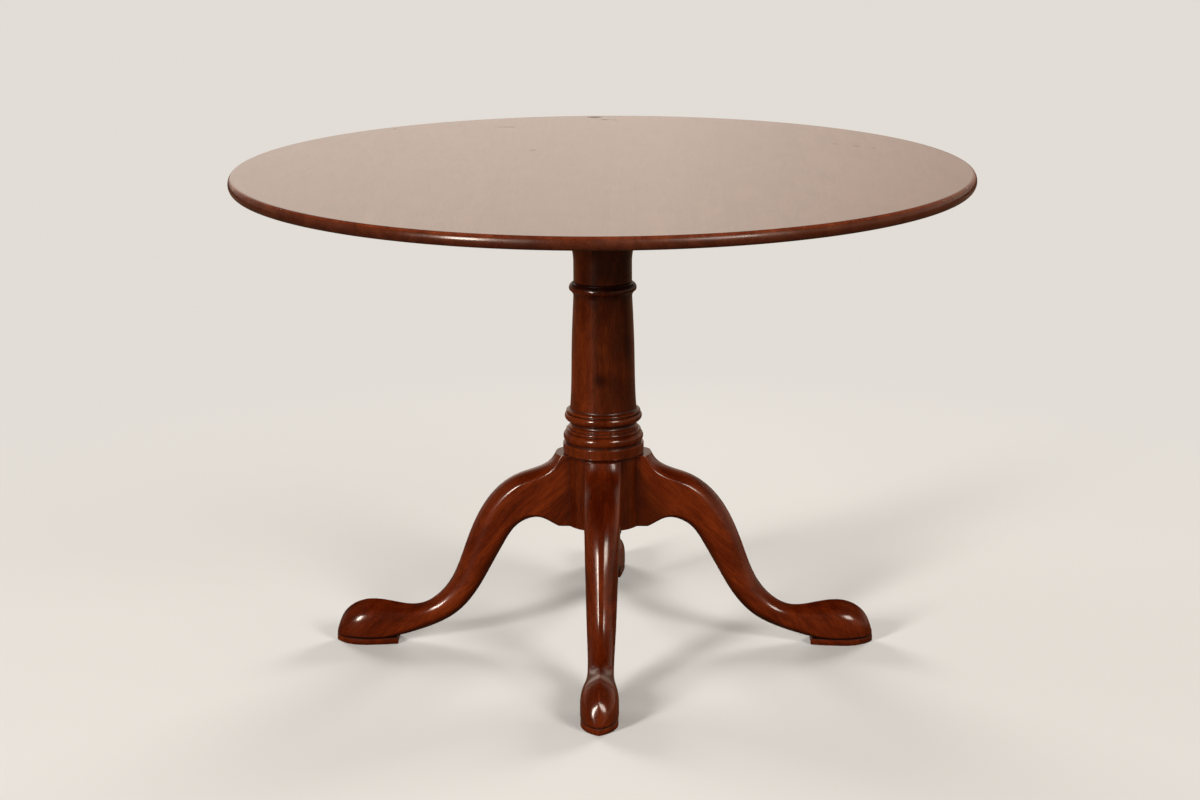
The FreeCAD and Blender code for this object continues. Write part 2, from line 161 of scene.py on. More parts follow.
def chord_places(values):
    """Running straight-line length through a row of points."""
    return np.concatenate([[0], np.cumsum(np.linalg.norm(np.diff(values, axis=0), axis=1))])


def arc(start, via, end, count=40):
    """Points on the circle through three points.

    The centre lies on two perpendicular bisectors, and the points stand at even angles.
    """
    a, b, c = (np.array(p, float) for p in (start, via, end))
    chords = np.array([b - a, c - b])
    middles = np.array([(a + b) / 2, (b + c) / 2])
    centre = np.linalg.solve(chords, (chords * middles).sum(1))
    angles = [math.atan2(p[1] - centre[1], p[0] - centre[0]) for p in (a, b, c)]
    first = (angles[1] - angles[0] + math.pi) % TURN - math.pi
    second = (angles[2] - angles[1] + math.pi) % TURN - math.pi
    sweep = angles[0] + np.linspace(0, first + second, count)
    return centre + np.linalg.norm(a - centre) * np.stack([np.cos(sweep), np.sin(sweep)], 1)


def softened(points, step, radius):
    """A line walked in even steps and blurred by a bell of that radius, which rounds its corners."""
    reach = chord_places(points)
    walk = np.linspace(0, reach[-1], int(reach[-1] / step))
    even = np.stack([np.interp(walk, reach, points[:, k]) for k in range(2)], 1)
    half = int(4 * radius / step)
    bell = np.exp(-0.5 * (np.arange(-half, half + 1) * step / radius) ** 2)
    bell /= bell.sum()
    padded = np.concatenate([2 * even[0] - even[half:0:-1], even, 2 * even[-1] - even[-2:-half - 2:-1]])
    return np.stack([np.convolve(padded[:, k], bell, "valid") for k in range(2)], 1)


def thinned(points, count, turn_weight):
    """The same line with fewer points, spaced evenly in length plus weighted turning angle."""
    step = np.diff(points, axis=0)
    length = np.linalg.norm(step, axis=1)
    heading = np.unwrap(np.arctan2(step[:, 1], step[:, 0]))
    turning = np.abs(np.diff(heading, prepend=heading[0]))
    weight = np.concatenate([[0], np.cumsum(length + turn_weight * turning)])
    at = np.linspace(0, weight[-1], count)
    return np.stack([np.interp(at, weight, points[:, k]) for k in range(2)], 1)


def closed_shell(rings):
    """Quads between neighbouring rings of a grid and a fan to a middle point at each end.

    Where the volume inside comes out negative, every face is turned round, so that all face outwards.
    """
    rows, columns = rings.shape[:2]
    row = np.arange(rows - 1)[:, None] * columns
    here = np.arange(columns)
    ahead = (here + 1) % columns
    quads = np.stack([row + here, row + ahead, row + columns + ahead, row + columns + here], -1)
    quads = quads.reshape(-1, 4)
    points = np.concatenate([rings.reshape(-1, 3), rings[:1].mean(1), rings[-1:].mean(1)])
    pole = np.full(columns, rows * columns)
    last_row = (rows - 1) * columns
    fans = np.concatenate([np.stack([pole, ahead, here], 1),
                           np.stack([pole + 1, last_row + here, last_row + ahead], 1)])
    corners = points[np.concatenate([quads[:, :3], quads[:, [0, 2, 3]], fans])]
    volume = np.einsum("ij,ij->i", corners[:, 0], np.cross(corners[:, 1], corners[:, 2])).sum()
    if volume < 0:
        quads, fans = quads[:, ::-1], fans[:, ::-1]
    return points, quads, fans


def make_piece(name, shells, values, tone, material, nodes):
    """One object from closed shells, with grain coordinates, tone, dirt with painted shade, and wear with
    painted highlights stored on its points.
    """
    points, faces, offset = [], [], 0
    for rings in shells:
        shell_points, quads, fans = closed_shell(rings)
        points.append(shell_points)
        faces += (quads + offset).tolist() + (fans + offset).tolist()
        offset += len(shell_points)
    points = np.concatenate(points)
    grain, dirt_and_shade, wear_and_sheen, shift = values(points)
    mesh = bpy.data.meshes.new(name)
    mesh.from_pydata((points * MM).tolist(), [], faces)
    mesh.shade_smooth()
    mesh.set_sharp_from_angle(angle=SHARP_EDGE)
    layer = mesh.attributes.new("grain", "FLOAT_VECTOR", "POINT")
    layer.data.foreach_set("vector", (grain * MM).astype(np.float32).ravel())
    for label, value in (("tone", tone + shift), ("dirt_and_shade", dirt_and_shade), ("wear_and_sheen", wear_and_sheen)):
        layer = mesh.attributes.new(label, "FLOAT", "POINT")
        layer.data.foreach_set("value", (value + np.zeros(len(points))).astype(np.float32))
    mesh.materials.append(material)
    piece = bpy.data.objects.new(name, mesh)
    bpy.context.scene.collection.objects.link(piece)
    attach(piece, "root")
    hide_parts(*nodes)


def between(value, low, high, soft):
    """Mask that is 1 from low to high and falls to 0 over a soft width outside them."""
    return np.clip((value - low) / soft + 1, 0, 1) * np.clip((high - value) / soft + 1, 0, 1)


# Shapes


def edge_profile():
    """Radius and height of the top's edge, from underside to surface.

    Two quarter ellipses meet at the widest line.
    """
    lower = np.linspace(0, math.pi / 2, 14)
    upper = np.linspace(0, math.pi / 2, 18)[1:]
    radius = np.concatenate([TOP_RADIUS - EDGE_LOWER_INSET * (1 - np.sin(lower)),
                             TOP_RADIUS - EDGE_UPPER_INSET * (1 - np.cos(upper))])
    height = np.concatenate([EDGE_WIDEST - (EDGE_WIDEST - UNDERSIDE) * np.cos(lower),
                             EDGE_WIDEST + (TABLE_HEIGHT - EDGE_WIDEST) * np.sin(upper)])
    return radius, height


def board(left, right):
    """Rings of a board: its plan outline at every height of the edge profile.

    At a ring of radius R the front arc has x from seam to seam and y = -sqrt(R^2 - x^2), the back arc
    y = +sqrt(R^2 - x^2), and straight seams join them. A board at the rim has one seam only.
    """
    radius, height = edge_profile()
    depth = np.minimum(height - UNDERSIDE, TABLE_HEIGHT - height)
    bevel = np.maximum(SEAM_BEVEL - depth, 0)
    flats = np.array([6.0, 2.0, 0.6])       # insets of the extra rings on both flat faces
    bevel = np.concatenate([bevel[0] + flats, bevel, bevel[-1] + flats[::-1]])[:, None]
    radius = np.concatenate([radius[0] - flats, radius, radius[-1] - flats[::-1]])[:, None]
    height = np.concatenate([np.full(3, UNDERSIDE), height, np.full(3, TABLE_HEIGHT)])
    low = np.arcsin(np.clip((left + bevel) / radius, -1, 1))
    high = np.arcsin(np.clip((right - bevel) / radius, -1, 1))
    at_left_rim = left <= -TOP_RADIUS
    at_right_rim = right >= TOP_RADIUS
    share = np.linspace(0, 1, max(40, int((right - left) / 3)))
    seam_share = np.linspace(-1, 1, 24)[1:-1]
    front = low + (high - low) * share
    back = front[:, ::-1][:, int(at_right_rim):len(share) - int(at_left_rim)]
    x = [radius * np.sin(front), radius * np.sin(back)]
    y = [-radius * np.cos(front), radius * np.cos(back)]
    if not at_right_rim:
        x.insert(1, radius * np.sin(high) + 0 * seam_share)
        y.insert(1, radius * np.cos(high) * seam_share)
    if not at_left_rim:
        x.append(radius * np.sin(low) + 0 * seam_share)
        y.append(-radius * np.cos(low) * seam_share)
    x, y = np.concatenate(x, 1), np.concatenate(y, 1)
    return np.stack([x, y, height[:, None] + 0 * x], -1)


def column_outline():
    """Half outline of the column as radius and height, from the hub up to the tenon.

    Mouldings are arcs through three points, and the shaft is a spline through four.
    """
    shaft = np.array([(50.9, 377.6), (50.0, 391.3), (48.0, 472.65), (44.8, 552.6)])
    places = chord_places(shaft)
    stretches = [
        [(0.0, HUB_BOTTOM), (HUB_RADIUS, HUB_BOTTOM), (HUB_RADIUS, HUB_TOP), (PLINTH_RADIUS, HUB_TOP)],
        arc((PLINTH_RADIUS, PLINTH_TOP - PLINTH_EDGE),
            (PLINTH_RADIUS - 0.35, PLINTH_TOP - 0.35),
            (PLINTH_RADIUS - PLINTH_EDGE, PLINTH_TOP)),
        [(58.4, PLINTH_TOP)],
        arc((58.4, 326.5), (61.3, 334.0), (56.4, 341.5)),       # lower round
        arc((56.4, 341.5), (57.4, 343.5), (56.4, 345.5)),       # bead
        [(53.2, 345.5)],
        arc((53.2, 349.3), (49.4, 352.8), (51.2, 358.0)),       # hollow
        arc((51.2, 358.0), (59.3, 364.9), (57.0, 370.4)),       # upper round
        [(54.6, 370.4), (54.6, 371.6), (56.4, 371.8)],
        arc((56.4, 371.8), (56.9, 373.6), (55.2, 375.2)),       # thin ring
        [(51.8, 376.0)],
        spline_through(places, shaft, np.linspace(0, places[-1], 60)),
        arc((44.8, 552.6), (46.9, 558.2), (51.0, 562.0)),       # flare under the collar
        arc((51.3, 563.0), (50.4, 569.2), (46.6, 572.4)),       # collar
        [(NECK_RADIUS, 570.6), (42.8, 572.0), (43.0, 573.8), (NECK_RADIUS, 575.4)],
        arc((NECK_RADIUS, 605.0), (49.5, 632.5), (66.5, FLANGE_BOTTOM)),
        [(FLANGE_RADIUS, FLANGE_BOTTOM), (FLANGE_RADIUS, BLOCK_BOTTOM), (TENON_RADIUS, BLOCK_BOTTOM)],
        [(TENON_RADIUS, TENON_TOP), (0.0, TENON_TOP)],
    ]
    return np.concatenate([np.array(stretch, float) for stretch in stretches])


def turned_column():
    """Rings of a surface of revolution: the softened outline carried round the upright axis."""
    outline = thinned(softened(column_outline(), 0.1, TURNED_EDGE), COLUMN_RINGS, 14.0)[1:-1]
    angle = np.linspace(0, TURN, COLUMN_SIDES + 1)[:-1]
    radius, height = outline[:, :1], outline[:, 1:]
    return np.stack([radius * np.cos(angle), radius * np.sin(angle), height + 0 * angle], -1)


def out(share):
    """Radius at a share of the way from the hub to the toe."""
    return HUB_RADIUS + share * (LEG_REACH - HUB_RADIUS)


def taper(share):
    """Half width at a share of the way from the width by the hub to that of the ankle."""
    return LEG_HALF_WIDTH + share * (ANKLE_HALF_WIDTH - LEG_HALF_WIDTH)


def swell(share):
    """Half width at a share of the way from the width of the ankle to that of the foot."""
    return ANKLE_HALF_WIDTH + share * (FOOT_HALF_WIDTH - ANKLE_HALF_WIDTH)


def leg_stations():
    """Stations of a leg along +X, from the hub to the toe.

    Each row: radius and height of the crest, radius and height of the sole line, half width, height of
    the crown, slope of the ridge, radius of the bellies, and how crisp the arris is. The first crests
    rise above the flat of the ear, which cuts them off.
    """
    toe = LEG_REACH
    return np.array([
        (EAR - 13, LEG_TOP + 21, EAR - 13, HUB_BOTTOM, taper(0), 17, 0, 3, 1.1),
        (EAR - 7, LEG_TOP + 13, EAR - 8, HUB_BOTTOM, taper(0), 17, 0, 3, 1.1),
        (EAR, LEG_TOP - 0.5, EAR - 3, HUB_BOTTOM + 1, taper(0), 15, 0, 3, 1.0),
        (EAR + 7, LEG_TOP - 12, EAR + 5, HUB_BOTTOM + 5, taper(0), 13, 0, 4, 0.9),
        (EAR + 25, LEG_TOP - 24, EAR + 19, HUB_BOTTOM + 12, taper(0), 12, 0, 5, 0.8),
        (out(0.21), LEG_TOP - 36.5, out(0.15), HUB_BOTTOM + 12, taper(0.05), 13.5, 0, 8, 0.6),
        (out(0.305), LEG_TOP - 61, out(0.212), HUB_BOTTOM - 1, taper(0.18), 19, 0, 11, 0.3),
        (out(0.388), 201, out(0.272), 161, taper(0.32), 26, 0, 14, 0),
        (out(0.444), 150, out(0.33), 122, taper(0.48), 29, 0, 16, 0),
        (out(0.51), 96, out(0.402), 78, taper(0.68), 27, 0, 15, 0),
        (out(0.61), ANKLE_HEIGHT + 4, out(0.505), 41, taper(0.9), 23, 0.2, 15, 0),
        (out(0.715), ANKLE_HEIGHT + 1.5, out(0.66), 18.5, swell(0.34), 23, 0.42, 12, 0),
        (toe - 64, INSTEP_HEIGHT, toe - 73, SOLE, swell(0.99), 33, 0.5, 4, 0),
        (toe - 31, INSTEP_HEIGHT - 6, toe - 33, SOLE, swell(0.85), 34, 0.5, 3, 0),
        (toe - 11, INSTEP_HEIGHT - 24, toe - 11, SOLE, swell(-0.17), 22, 0.5, 2.5, 0),
        (toe - 1, INSTEP_HEIGHT - 50, toe - 1, SOLE, swell(-1.5), 4, 0.4, 1.5, 0),
    ], float)


def leg_sections(half_width, height, crown, ridge, belly, crisp):
    """Closed sections across a leg: flat sole, quarter-circle bellies, upright sides and a crowned top.

    Each half crown is a cubic Bezier curve from the side to the middle line, which it meets at the
    slope of the ridge. It leaves the side upright, or leans in from a crisp arris. A short blur along
    the section rounds the arris, and points crowd towards it. Returns distance across and height above
    the sole for every station.
    """
    b, h, c, slope, r, lean = (v[:, None] for v in (half_width, height, crown, ridge, belly, crisp))
    flat = np.linspace(0, 1, 8)[:-1]
    bend = np.linspace(0, math.pi / 2, 12)[:-1]
    side = 1 - (1 - np.linspace(0, 1, 16)[:-1]) ** 1.6
    t = np.linspace(0, 1, 36) ** 1.25
    weights = [(1 - t) ** 3, 3 * (1 - t) ** 2 * t, 3 * (1 - t) * t ** 2, t ** 3]
    shoulder = h - c
    crown_across = (weights[0] * b + weights[1] * b * (1 - ARRIS_LEAN * lean)
                    + weights[2] * CROWN_FULLNESS * b)
    crown_above = (weights[0] * shoulder + weights[1] * (shoulder + c * CROWN_FULLNESS)
                   + weights[2] * (h - slope * CROWN_FULLNESS * b) + weights[3] * h)
    across = np.concatenate([(b - r) * flat, b - r + r * np.sin(bend), b + 0 * side, crown_across], 1)
    above = np.concatenate(
        [0 * b * flat, r - r * np.cos(bend), r + (shoulder - r) * side, crown_above], 1)
    first = len(flat) + len(bend) + len(side) - 5       # the blur starts five points below the arris
    for line in (across, above) * ARRIS_PASSES:
        neighbours = line[:, first - 1:-5] + line[:, first + 1:-3]
        line[:, first:-4] = (neighbours + 2 * line[:, first:-4]) / 4
    across = np.concatenate([across, -across[:, -2:0:-1]], 1)
    above = np.concatenate([above, above[:, -2:0:-1]], 1)
    return across, above


def leg_body():
    """Rings of a leg along +X: sections carried along two splines, cut off level at the ear."""
    stations = leg_stations()
    places = chord_places(stations[:, :4])
    walk = np.concatenate([np.linspace(0, EAR_STRETCH, 90),
                           np.linspace(EAR_STRETCH, places[-1], 250)[1:]])
    rows = spline_through(places, stations, walk)
    upper, lower = rows[:, 0:2], rows[:, 2:4]
    rise = upper - lower
    height = np.linalg.norm(rise, axis=1)
    up = rise / height[:, None]
    across, above = leg_sections(rows[:, 4], height, rows[:, 5], rows[:, 6], rows[:, 7], rows[:, 8])
    x = lower[:, :1] + up[:, :1] * above
    z = np.minimum(lower[:, 1:] + up[:, 1:] * above, LEG_TOP)
    rings = np.stack([x, across, z], -1)
    cope = rings[0].copy()
    cope[:, 0] = np.sqrt((HUB_RADIUS - COPE_DEPTH) ** 2 - cope[:, 1] ** 2)
    return np.concatenate([cope[None], rings])


def leg_shoe():
    """Rings of the flat shoe under a foot, drawn in at its upper and lower edge.

    The plan is made of arcs with a pointed toe and a square heel, and every ring scales it about its
    middle.
    """
    toe, widest, heel = LEG_REACH, LEG_REACH - SHOE_WIDEST, LEG_REACH - SHOE_LENGTH
    between_them = ((widest + heel) / 2, (SHOE_HALF_WIDTH + HEEL_HALF_WIDTH) / 2 + SHOE_BULGE)
    front_side = arc((toe, 0), (toe - 18, 19.5), (widest, SHOE_HALF_WIDTH), 30)
    heel_side = arc((widest, SHOE_HALF_WIDTH), between_them, (heel, HEEL_HALF_WIDTH), 24)
    side = np.concatenate([front_side, heel_side[1:]])
    other = side[::-1][:-1] * np.array([1, -1])
    heel_line = np.linspace(HEEL_HALF_WIDTH - 2, 2 - HEEL_HALF_WIDTH, 8)
    plan = np.concatenate([side, np.stack([np.full(8, heel), heel_line], 1), other])
    middle = np.array([(toe + heel) / 2, 0])
    half_size = np.array([(toe - heel) / 2, SHOE_HALF_WIDTH])
    inset = np.array([2.0, 0.8, 0.25, 0.0, 0.0, 0.2, 0.9, 2.2, 4.0])[:, None, None]
    height = np.array([0.0, 0.25, 0.8, 1.8, 8.4, 9.3, 10.1, 10.7, 11.2])[:, None]
    outline = middle + (plan - middle) * (1 - inset / half_size)
    return np.concatenate([outline, (height + 0 * outline[..., 0])[..., None]], -1)


def turned_about_z(points, angle):
    """Points turned about the upright axis by an angle."""
    c, s = round(math.cos(angle), 9), round(math.sin(angle), 9)
    return points @ np.array([[c, s, 0], [-s, c, 0], [0, 0, 1]])


def board_values(middle, number):
    """Grain along Y, shifted so that no two boards match, and wear round the upper edge of the rim."""
    shift = np.array([210.0 * number, 37.0 * number, 530.0 * number])

    def values(points):
        x, y, z = points.T
        grain = np.stack([x - middle, z - UNDERSIDE, y], 1) + shift
        near_rim = between(np.hypot(x, y), TOP_RADIUS - EDGE_UPPER_INSET, TOP_RADIUS - 4, 3)
        worn_rim = near_rim * between(z, TABLE_HEIGHT - 3, TABLE_HEIGHT - 1, 1)
        return grain, 0.0, worn_rim, 0.0
    return values


def column_values(points):
    """Grain upright; dirt and painted shade where the outline lies deeper than its own blur, wear where
    it stands proud.
    """
    height = points[:, 2]
    radius = np.hypot(points[:, 0], points[:, 1])
    outline = softened(column_outline(), 0.25, 0.5)
    blurred = softened(column_outline(), 0.25, 3.0)
    order = np.argsort(outline[:, 1])
    proud = np.interp(height, outline[order, 1], (outline - blurred)[order, 0])
    visible = between(height, HUB_TOP + 3, BLOCK_BOTTOM - 8, 1) * (radius > TENON_RADIUS + 6)
    dust_and_shade_under_plinth = between(height, HUB_TOP - 4, HUB_TOP, 3) * (radius < PLINTH_RADIUS - 1)
    quirk_dirt_and_shade = between(height, *QUIRK, 1.2)
    # dirt and painted shade in the hollows of the mouldings, in the corner under the plinth and in the
    # hollow above the collar
    dirt_and_shade = np.clip(-proud / 0.9, 0, 1) * visible + dust_and_shade_under_plinth + quirk_dirt_and_shade
    return points, np.clip(dirt_and_shade, 0, 1), np.clip(proud / 1.2, 0, 1) * visible, 0.0


def leg_values(angle, number):
    """Grain that falls from the hub to the foot, and a tone of its own on the foot.

    Dirt and painted shade lie in the groove above the shoe and under the plinth, and dirt along the hub.
    The edge of the shoe and the ridge of the foot are rubbed, with a painted highlight along them.
    """
    def values(points):
        x, y, z = turned_about_z(points, -angle).T
        along = x * math.cos(GRAIN_SLOPE) - z * math.sin(GRAIN_SLOPE)
        across = x * math.sin(GRAIN_SLOPE) + z * math.cos(GRAIN_SLOPE)
        grain = np.stack([across, y, along], 1) + 310.0 * (number + 1)
        # dirt and painted shade in the groove between foot and shoe
        groove_dirt_and_shade = between(z, 10.0, 12.5, 1.2) * (x > LEG_REACH - SHOE_LENGTH - 1)
        by_hub = 0.6 * between(np.hypot(x, y), 0, HUB_RADIUS + 0.2, 0.8)
        # dust and painted shade in the corner under the plinth
        dust_and_shade_under_plinth = 0.25 * between(z, LEG_TOP - 8, LEG_TOP, 10) * between(x, 0, EAR + 4, 6)
        dirt_and_shade = np.max([groove_dirt_and_shade, by_hub, dust_and_shade_under_plinth], axis=0)
        # rubbed wear and a painted highlight along the upper edge of the shoe
        shoe_edge_wear_and_sheen = between(z, 7.8, 9.0, 0.8) * (x > LEG_REACH - SHOE_LENGTH - 3)
        near_toe = between(x, LEG_REACH - 85, LEG_REACH, 20)
        # rubbed wear and a painted highlight along the ridge of the foot
        ridge = between(y, -0.2, 0.2, 0.6) * between(z, 25, 80, 8) * near_toe
        on_foot = between(z, 0, 45, 30) * between(x, LEG_REACH - 95, LEG_REACH, 40)
        foot_shift = (FOOT_TONES[number] - LEG_TONES[number]) * on_foot
        return grain, dirt_and_shade, np.maximum(shoe_edge_wear_and_sheen, ridge), foot_shift
    return values


# Materials


def node(tree, kind, values=None, **settings):
    """A shader node with its settings; a value that is a socket is linked, any other is set."""
    made = tree.nodes.new(kind)
    for key, value in settings.items():
        setattr(made, key, value)
    for key, value in (values or {}).items():
        if isinstance(value, bpy.types.NodeSocket):
            tree.links.new(value, made.inputs[key])
        else:
            made.inputs[key].default_value = value
    return made


def math_node(tree, operation, a, b=0.0):
    """One step of arithmetic on two values."""
    return node(tree, "ShaderNodeMath", {0: a, 1: b}, operation=operation).outputs[0]


def scaled(tree, vector, scale):
    """A vector with each axis multiplied by its own scale."""
    return node(tree, "ShaderNodeVectorMath", {0: vector, 1: scale}, operation="MULTIPLY").outputs[0]


def noise(tree, vector, scale, detail, roughness=0.5):
    """Soft noise with its own number of waves in a metre on each axis."""
    made = node(tree, "ShaderNodeTexNoise", {"Vector": scaled(tree, vector, scale), "Scale": 1.0,
                                             "Detail": detail, "Roughness": roughness})
    return made.outputs[0]


def remap(tree, value, low, high, to_low=0.0, to_high=1.0):
    """A value carried from one range to another and held inside it."""
    made = node(tree, "ShaderNodeMapRange", {0: value, 1: low, 2: high, 3: to_low, 4: to_high})
    return made.outputs[0]


def over_heights(tree, height, start, end):
    """Mask that goes from 0 to 1 between two heights in millimetres."""
    return remap(tree, height, start * MM, end * MM)


def mix_colour(tree, share, a, b, blend="MIX"):
    """Two colours blended by a share."""
    made = tree.nodes.new("ShaderNodeMix")
    made.data_type = "RGBA"
    made.blend_type = blend
    for socket, value in ((made.inputs[0], share), (made.inputs[6], a), (made.inputs[7], b)):
        if isinstance(value, bpy.types.NodeSocket):
            tree.links.new(value, socket)
        else:
            socket.default_value = value
    return made.outputs[2]


def distance_from(tree, place, point, scale=(1.0, 1.0, 1.0)):
    """Length of the way from a point in millimetres, with each axis multiplied by its own scale."""
    middle = tuple(value * MM for value in point)
    way = node(tree, "ShaderNodeVectorMath", {0: place, 1: middle}, operation="SUBTRACT").outputs[0]
    length = node(tree, "ShaderNodeVectorMath", {0: scaled(tree, way, scale)}, operation="LENGTH")
    return length.outputs["Value"]


def new_group(name, inputs, outputs):
    """An empty shader node group with its sockets, and its input and output nodes."""
    group = bpy.data.node_groups.new(name, "ShaderNodeTree")
    for label, kind in inputs:
        group.interface.new_socket(label, in_out="INPUT", socket_type=kind)
    for label, kind in outputs:
        group.interface.new_socket(label, in_out="OUTPUT", socket_type=kind)
    return group, group.nodes.new("NodeGroupInput"), group.nodes.new("NodeGroupOutput")


def wood_figure_group():
    """Figure of the wood in grain coordinates whose third axis runs along the grain.

    Soft clouds, growth bands, streaks and fibres are noises stretched along the grain. Growth rings are
    level lines of one more such noise, so they nest in long arches. Pores are short dashes where a very
    fine stretched noise falls low.
    """
    group, start, end = new_group(
        "wood_figure",
        [("Grain", "NodeSocketVector")],
        [("Figure", "NodeSocketFloat"), ("Streaks", "NodeSocketFloat"), ("Pores", "NodeSocketFloat")])
    grain = start.outputs["Grain"]
    wander = node(group, "ShaderNodeTexNoise",
                  {"Vector": scaled(group, grain, (6.0, 6.0, 4.0)), "Scale": 1.0})
    drift = node(group, "ShaderNodeVectorMath", {0: wander.outputs["Color"], 1: (0.04, 0.04, 0.0)},
                 operation="MULTIPLY").outputs[0]
    bent = node(group, "ShaderNodeVectorMath", {0: grain, 1: drift}, operation="ADD").outputs[0]
    clouds = noise(group, bent, (26.0, 26.0, 12.0), 3.0, 0.55)
    bands = noise(group, bent, (75.0, 75.0, 3.0), 3.0, 0.55)
    streaks = noise(group, bent, (420.0, 420.0, 16.0), 4.0, 0.62)
    fibres = noise(group, bent, (1300.0, 1300.0, 60.0), 2.0)
    level = math_node(group, "MULTIPLY", noise(group, bent, (9.0, 9.0, 2.2), 1.0), RING_COUNT * TURN)
    rings = remap(group, math_node(group, "SINE", level), -1.0, 1.0)
    figure = math_node(group, "MULTIPLY", clouds, 0.30)
    for layer, share in ((bands, 0.18), (streaks, 0.22), (fibres, 0.26), (rings, 0.04)):
        figure = math_node(group, "ADD", figure, math_node(group, "MULTIPLY", layer, share))
    pores = remap(group, noise(group, bent, (1500.0, 1500.0, 42.0), 1.0), 0.40, 0.31)
    group.links.new(figure, end.inputs["Figure"])
    group.links.new(streaks, end.inputs["Streaks"])
    group.links.new(pores, end.inputs["Pores"])
    return group


def worn_varnish_and_light_group():
    """Marks of use in old varnish with painted light: patchy grime and painted shade, patchy rubbing and
    painted highlights, and relief.

    Grime and painted shade lie where dirt gathers and shade falls, rubbing and painted highlights along
    worn edges and arrises, each broken up by a noise. The relief is a slow ripple of the varnish with the
    pores sunk a little into it.
    """
    group, start, end = new_group(
        "worn_varnish_and_painted_light",
        [("Grain", "NodeSocketVector"), ("Dirt_and_shade", "NodeSocketFloat"), ("Wear_and_sheen", "NodeSocketFloat"),
         ("Pores", "NodeSocketFloat")],
        [("Grime_and_shade", "NodeSocketFloat"), ("Rubbed_and_sheen", "NodeSocketFloat"), ("Relief", "NodeSocketFloat")])
    grain, dirt_and_shade, wear_and_sheen, pores = start.outputs[:4]
    patchy = noise(group, grain, (140.0, 140.0, 140.0), 3.0)
    ripple = noise(group, grain, (90.0, 90.0, 45.0), 2.0)
    relief = math_node(group, "SUBTRACT", math_node(group, "MULTIPLY", ripple, 0.6),
                       math_node(group, "MULTIPLY", pores, 0.15))
    grime_and_shade = math_node(group, "MULTIPLY", dirt_and_shade, remap(group, patchy, 0.25, 0.6, 0.55, 1.0))
    rubbed_and_sheen = math_node(group, "MULTIPLY", wear_and_sheen, remap(group, patchy, 0.4, 0.65))
    group.links.new(grime_and_shade, end.inputs["Grime_and_shade"])
    group.links.new(rubbed_and_sheen, end.inputs["Rubbed_and_sheen"])
    group.links.new(relief, end.inputs["Relief"])
    return group


FIGURE = wood_figure_group()
WORN_VARNISH_AND_LIGHT = worn_varnish_and_light_group()


def shade_over(tree, shader, mask, colour):
    """Multiplies the colour of a finish by another colour where a mask is set."""
    under = shader.inputs["Base Color"].links[0].from_socket
    tree.links.new(mix_colour(tree, mask, under, colour, "MULTIPLY"), shader.inputs["Base Color"])


def dulled(tree, shader, mask, roughness):
    """Raises the roughness of a finish where a mask is set."""
    under = shader.inputs["Roughness"].links[0].from_socket
    added = math_node(tree, "MULTIPLY", mask, roughness)
    tree.links.new(math_node(tree, "ADD", under, added), shader.inputs["Roughness"])


def varnished_wood(name, dark, middle, light, rough, contrast, ripple_depth):
    """Stained wood under clear varnish: figure from the grain, dark pores, dirt with painted shade, and
    paler worn edges with painted highlights.
    """
    material = bpy.data.materials.new(name)
    material.use_nodes = True
    tree = material.node_tree
    shader = tree.nodes["Principled BSDF"]
    grain = node(tree, "ShaderNodeAttribute", attribute_name="grain").outputs["Vector"]
    tone, dirt_and_shade, wear_and_sheen = (node(tree, "ShaderNodeAttribute", attribute_name=label).outputs["Fac"]
                        for label in ("tone", "dirt_and_shade", "wear_and_sheen"))
    figure = node(tree, "ShaderNodeGroup", node_tree=FIGURE)
    tree.links.new(grain, figure.inputs["Grain"])
    pores = figure.outputs["Pores"]
    swing = math_node(tree, "SUBTRACT", figure.outputs["Figure"], 0.5)
    swing = math_node(tree, "MULTIPLY", swing, contrast)
    ramp = node(tree, "ShaderNodeValToRGB", {0: math_node(tree, "ADD", swing, tone)})
    ramp.color_ramp.interpolation = "B_SPLINE"
    ramp.color_ramp.elements[0].position = 0.2
    ramp.color_ramp.elements[0].color = dark
    ramp.color_ramp.elements[1].position = 0.8
    ramp.color_ramp.elements[1].color = light
    ramp.color_ramp.elements.new(0.5).color = middle
    tree.links.new(ramp.outputs[0], shader.inputs["Base Color"])
    roughness = remap(tree, figure.outputs["Streaks"], 0.3, 0.7, rough - 0.03, rough + 0.04)
    tree.links.new(roughness, shader.inputs["Roughness"])
    shade_over(tree, shader, math_node(tree, "MULTIPLY", pores, 0.8), (0.4, 0.3, 0.25, 1))
    worn_and_lit = node(tree, "ShaderNodeGroup", node_tree=WORN_VARNISH_AND_LIGHT)
    for label, source in (("Grain", grain), ("Dirt_and_shade", dirt_and_shade), ("Wear_and_sheen", wear_and_sheen), ("Pores", pores)):
        tree.links.new(source, worn_and_lit.inputs[label])
    # dirt and painted shade darken the wood where their mask is set
    shade_over(tree, shader, worn_and_lit.outputs["Grime_and_shade"], (0.22, 0.18, 0.16, 1))
    dulled(tree, shader, worn_and_lit.outputs["Grime_and_shade"], 0.25)
    # rubbed wear and painted highlights make it paler where their mask is set
    shade_over(tree, shader, worn_and_lit.outputs["Rubbed_and_sheen"], (1.5, 1.7, 1.9, 1))
    bump = node(tree, "ShaderNodeBump", {"Height": worn_and_lit.outputs["Relief"], "Strength": ripple_depth,
                                         "Distance": 0.0004})
    tree.links.new(bump.outputs["Normal"], shader.inputs["Normal"])
    shader.inputs["Specular IOR Level"].default_value = 0.34
    shader.inputs["Specular Tint"].default_value = (1.0, 0.86, 0.72, 1)
    shader.inputs["Coat Weight"].default_value = 0.12
    shader.inputs["Coat Roughness"].default_value = 0.1
    return material, tree, shader, figure, tone


